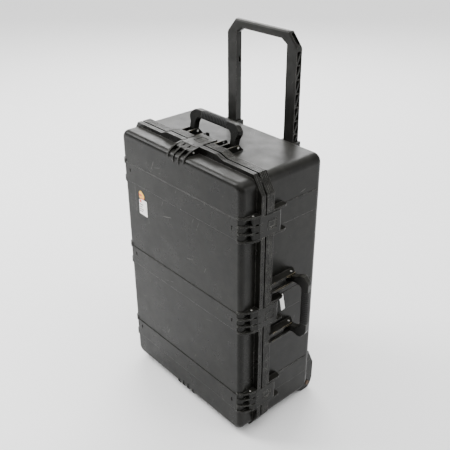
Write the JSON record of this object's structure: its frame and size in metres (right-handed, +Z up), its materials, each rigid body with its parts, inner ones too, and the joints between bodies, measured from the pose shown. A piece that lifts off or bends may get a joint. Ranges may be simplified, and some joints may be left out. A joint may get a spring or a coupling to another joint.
{
  "type": "hard equipment case",
  "caption": "Long moulded hard case standing on its end, with a hinged lid, latches, folding carry handles, a pull-out trolley handle and wheels.",
  "frame": {"origin": "on the floor, on the case's mid-plane between the hinge side and the latch side, in the parting plane between lid and base", "axes": "+Z up with the case standing on its short end, +X towards the side latches, -Y out of the lid, +Y out of the back"},
  "size_m": [0.5786, 0.31, 1.049],
  "materials": {
    "resin": "moulded, fine texture, slightly worn",
    "nylon": "moulded, satin",
    "trolley_nylon": "moulded, matt",
    "gasket_rubber": "foam rubber",
    "grip_rubber": "ribbed, matt",
    "steel": "bright pin ends",
    "axle_steel": "dull, some rust",
    "tyre": "solid rubber tyre",
    "hub": "moulded",
    "label_print": "printed film, abstract blocks",
    "label_white": "blank white film"
  },
  "bodies": {
    "base": {"base_shell": "resin", "hinge_pins": "steel", "handle_pins": "steel", "trolley_guide_left": "nylon", "trolley_guide_right": "nylon", "guide_screws": "steel", "wheel_housing_left": "nylon", "wheel_housing_right": "nylon", "housing_screws": "steel", "axle_bolts": "axle_steel", "axle_nuts": "axle_steel", "axle_washers": "steel", "pressure_valve": "nylon", "side_label": "label_white"},
    "lid": {"lid_shell": "resin", "lid_gasket": "gasket_rubber", "latch_pins": "steel", "lid_label": "label_print"},
    "side_handle": {"side_handle": "nylon", "side_handle_grip": "grip_rubber"},
    "top_handle": {"top_handle": "nylon", "top_handle_grip": "grip_rubber"},
    "trolley": {"trolley_frame": "trolley_nylon", "trolley_glides": "nylon"},
    "wheel_left": {"wheel_tyre_left": "tyre", "wheel_hub_left": "hub"},
    "wheel_right": {"wheel_tyre_right": "tyre", "wheel_hub_right": "hub"},
    "latch_side_upper": {"latch_side_upper": "nylon", "latch_button_spring_side_upper": "steel"},
    "latch_button_side_upper": {"latch_button_side_upper": "nylon"},
    "latch_side_middle": {"latch_side_middle": "nylon", "latch_button_spring_side_middle": "steel"},
    "latch_button_side_middle": {"latch_button_side_middle": "nylon"},
    "latch_side_lower": {"latch_side_lower": "nylon", "latch_button_spring_side_lower": "steel"},
    "latch_button_side_lower": {"latch_button_side_lower": "nylon"},
    "latch_top": {"latch_top": "nylon", "latch_button_spring_top": "steel"},
    "latch_button_top": {"latch_button_top": "nylon"},
    "latch_bottom": {"latch_bottom": "nylon", "latch_button_spring_bottom": "steel"},
    "latch_button_bottom": {"latch_button_bottom": "nylon"}
  },
  "joints": [
    {"name": "lid_hinge", "type": "hinge", "parent": "base", "child": "lid", "pos_m": [-0.262, 0, 0.3975], "axis": [0, 0, -1], "range_deg": [0, 110]},
    {"name": "latch_side_upper_hinge", "type": "hinge", "parent": "lid", "child": "latch_side_upper", "pos_m": [0.249, -0.033, 0.6585], "axis": [0, 0, -1], "range_deg": [0, 60]},
    {"name": "latch_side_upper_press", "type": "slide", "parent": "latch_side_upper", "child": "latch_button_side_upper", "axis": [-1, 0, 0], "range_m": [0, 0.003], "stiffness_N_per_m": 400, "deforming": ["latch_button_spring_side_upper"]},
    {"name": "latch_side_middle_hinge", "type": "hinge", "parent": "lid", "child": "latch_side_middle", "pos_m": [0.249, -0.033, 0.391], "axis": [0, 0, -1], "range_deg": [0, 60]},
    {"name": "latch_side_middle_press", "type": "slide", "parent": "latch_side_middle", "child": "latch_button_side_middle", "axis": [-1, 0, 0], "range_m": [0, 0.003], "stiffness_N_per_m": 400, "deforming": ["latch_button_spring_side_middle"]},
    {"name": "latch_side_lower_hinge", "type": "hinge", "parent": "lid", "child": "latch_side_lower", "pos_m": [0.249, -0.033, 0.1235], "axis": [0, 0, -1], "range_deg": [0, 60]},
    {"name": "latch_side_lower_press", "type": "slide", "parent": "latch_side_lower", "child": "latch_button_side_lower", "axis": [-1, 0, 0], "range_m": [0, 0.003], "stiffness_N_per_m": 400, "deforming": ["latch_button_spring_side_lower"]},
    {"name": "latch_top_hinge", "type": "hinge", "parent": "lid", "child": "latch_top", "pos_m": [0, -0.033, 0.7835], "axis": [1, 0, 0], "range_deg": [0, 60]},
    {"name": "latch_top_press", "type": "slide", "parent": "latch_top", "child": "latch_button_top", "axis": [0, 0, -1], "range_m": [0, 0.003], "stiffness_N_per_m": 400, "deforming": ["latch_button_spring_top"]},
    {"name": "latch_bottom_hinge", "type": "hinge", "parent": "lid", "child": "latch_bottom", "pos_m": [0, -0.033, 0.0115], "axis": [-1, 0, 0], "range_deg": [0, 60]},
    {"name": "latch_bottom_press", "type": "slide", "parent": "latch_bottom", "child": "latch_button_bottom", "axis": [0, 0, 1], "range_m": [0, 0.003], "stiffness_N_per_m": 400, "deforming": ["latch_button_spring_bottom"]},
    {"name": "side_handle_fold", "type": "hinge", "parent": "base", "child": "side_handle", "pos_m": [0.252, 0.103, 0.391], "axis": [0, 0, 1], "range_deg": [-12, 78]},
    {"name": "top_handle_fold", "type": "hinge", "parent": "base", "child": "top_handle", "pos_m": [0, 0.061, 0.789], "axis": [-1, 0, 0], "range_deg": [-12, 78]},
    {"name": "trolley_slide", "type": "slide", "parent": "base", "child": "trolley", "axis": [0, 0, -1], "range_m": [0, 0.24]},
    {"name": "wheel_left_spin", "type": "hinge", "parent": "base", "child": "wheel_left", "pos_m": [-0.199, 0.2215, 0.0245], "axis": [1, 0, 0], "continuous": true},
    {"name": "wheel_right_spin", "type": "hinge", "parent": "base", "child": "wheel_right", "pos_m": [0.199, 0.2215, 0.0245], "axis": [1, 0, 0], "continuous": true}
  ]
}
